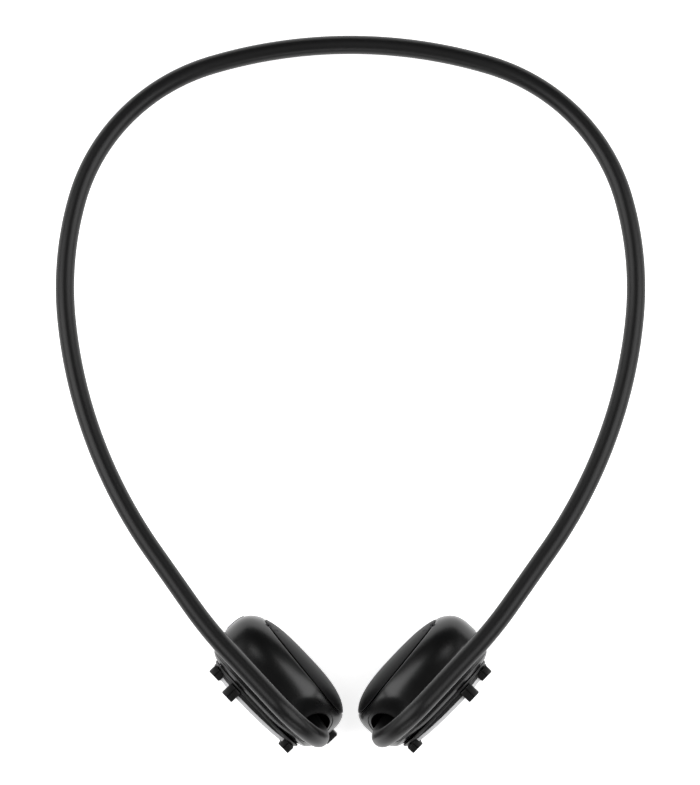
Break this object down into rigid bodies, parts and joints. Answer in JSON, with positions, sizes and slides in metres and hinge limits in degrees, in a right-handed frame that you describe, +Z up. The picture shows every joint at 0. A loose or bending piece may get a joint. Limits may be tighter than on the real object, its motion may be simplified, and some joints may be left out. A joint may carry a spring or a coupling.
{
  "type": "bone conduction headphones",
  "caption": "Bone conduction headphones: a sprung silicone-sleeved neckband with an ear hook and a sealed sound pod at each end, aluminium side trim and pod controls.",
  "frame": {"origin": "under the middle of the object, on the surface that the rear of the band and the two pods rest on", "axes": "+Z up as worn, +Y towards the back of the wearer's head, so the wearer faces -Y and the right pod is on the -X side"},
  "size_m": [0.148, 0.1812, 0.041],
  "materials": {
    "sleeve_silicone": "satin",
    "titanium_wire": "drawn",
    "cable_jacket": "satin",
    "socket_plastic": "gloss",
    "spring_steel": "satin",
    "shell_plastic": "satin gloss",
    "seal_rubber": "matt",
    "pad_silicone": "matt",
    "bezel_plastic": "gloss",
    "trim_aluminium": "brushed and anodised",
    "clip_plastic": "moulded",
    "screw_steel": "machined",
    "carrier_plastic": "moulded",
    "coil_copper": "enamelled",
    "pole_steel": "plated",
    "magnet_nickel": "nickel plated",
    "mic_metal": "etched",
    "light_guide": "clear",
    "board_laminate": "solder mask",
    "chip_epoxy": "moulded",
    "battery_foil": "foil",
    "socket_metal": "stamped",
    "cover_silicone": "matt",
    "button_plastic": "satin",
    "switch_metal": "stamped"
  },
  "bodies": {
    "rear_band": {"rear_band_sleeve": "sleeve_silicone", "rear_spring_wire": "titanium_wire", "rear_link_cable": "cable_jacket"},
    "right_arm": {"right_arm_sleeve": "sleeve_silicone", "right_spring_wire": "titanium_wire", "right_link_cable": "cable_jacket", "right_strain_relief": "sleeve_silicone", "right_hook_socket": "socket_plastic", "right_wire_clamp": "spring_steel", "right_outer_shell": "shell_plastic", "right_inner_shell": "shell_plastic", "right_shell_seal": "seal_rubber", "right_contact_pad": "pad_silicone", "right_trim_bezel": "bezel_plastic", "right_trim_plate": "trim_aluminium", "right_trim_clips": "clip_plastic", "right_case_screws": "screw_steel", "right_pad_carrier": "carrier_plastic", "right_voice_coil": "coil_copper", "right_pole_plate": "pole_steel", "right_magnet": "magnet_nickel", "right_magnet_cup": "pole_steel", "right_suspension_spring": "spring_steel", "right_transducer_cradle": "carrier_plastic", "right_microphone": "mic_metal", "right_status_light": "light_guide", "right_main_board": "board_laminate", "right_board_chips": "chip_epoxy", "right_charging_socket": "socket_metal", "right_button_switches": "switch_metal"},
    "left_arm": {"left_arm_sleeve": "sleeve_silicone", "left_spring_wire": "titanium_wire", "left_link_cable": "cable_jacket", "left_strain_relief": "sleeve_silicone", "left_hook_socket": "socket_plastic", "left_wire_clamp": "spring_steel", "left_outer_shell": "shell_plastic", "left_inner_shell": "shell_plastic", "left_shell_seal": "seal_rubber", "left_contact_pad": "pad_silicone", "left_trim_bezel": "bezel_plastic", "left_trim_plate": "trim_aluminium", "left_trim_clips": "clip_plastic", "left_case_screws": "screw_steel", "left_pad_carrier": "carrier_plastic", "left_voice_coil": "coil_copper", "left_pole_plate": "pole_steel", "left_magnet": "magnet_nickel", "left_magnet_cup": "pole_steel", "left_suspension_spring": "spring_steel", "left_transducer_cradle": "carrier_plastic", "left_microphone": "mic_metal", "left_status_light": "light_guide", "left_battery": "battery_foil", "left_link_board": "board_laminate"},
    "port_cover": {"right_port_cover": "cover_silicone"},
    "multifunction_button": {"right_multifunction_button": "button_plastic"},
    "volume_up_button": {"right_volume_up_button": "button_plastic"},
    "volume_down_button": {"right_volume_down_button": "button_plastic"}
  },
  "joints": [
    {"name": "right_flex", "type": "hinge", "parent": "rear_band", "child": "right_arm", "pos_m": [-0.05667, 0.07021, 0.00634], "axis": [0, -0.2147, -0.9767], "range_deg": [0, 26], "stiffness_Nm_per_rad": 0.3},
    {"name": "left_flex", "type": "hinge", "parent": "rear_band", "child": "left_arm", "pos_m": [0.05667, 0.07021, 0.00634], "axis": [0, 0.2147, 0.9767], "range_deg": [0, 26], "stiffness_Nm_per_rad": 0.3},
    {"name": "multifunction_press", "type": "slide", "parent": "right_arm", "child": "multifunction_button", "axis": [-0.6896, 0.7242, 0], "range_m": [0, 0.0005], "stiffness_N_per_m": 2500},
    {"name": "volume_up_press", "type": "slide", "parent": "right_arm", "child": "volume_up_button", "axis": [0.6896, -0.7242, 0], "range_m": [0, 0.0005], "stiffness_N_per_m": 2500},
    {"name": "volume_down_press", "type": "slide", "parent": "right_arm", "child": "volume_down_button", "axis": [0.6896, -0.7242, 0], "range_m": [0, 0.0005], "stiffness_N_per_m": 2500},
    {"name": "port_cover_hinge", "type": "hinge", "parent": "right_arm", "child": "port_cover", "pos_m": [-0.01239, -0.08381, 0.0017], "axis": [-0.7242, -0.6896, 0], "range_deg": [0, 100]}
  ]
}
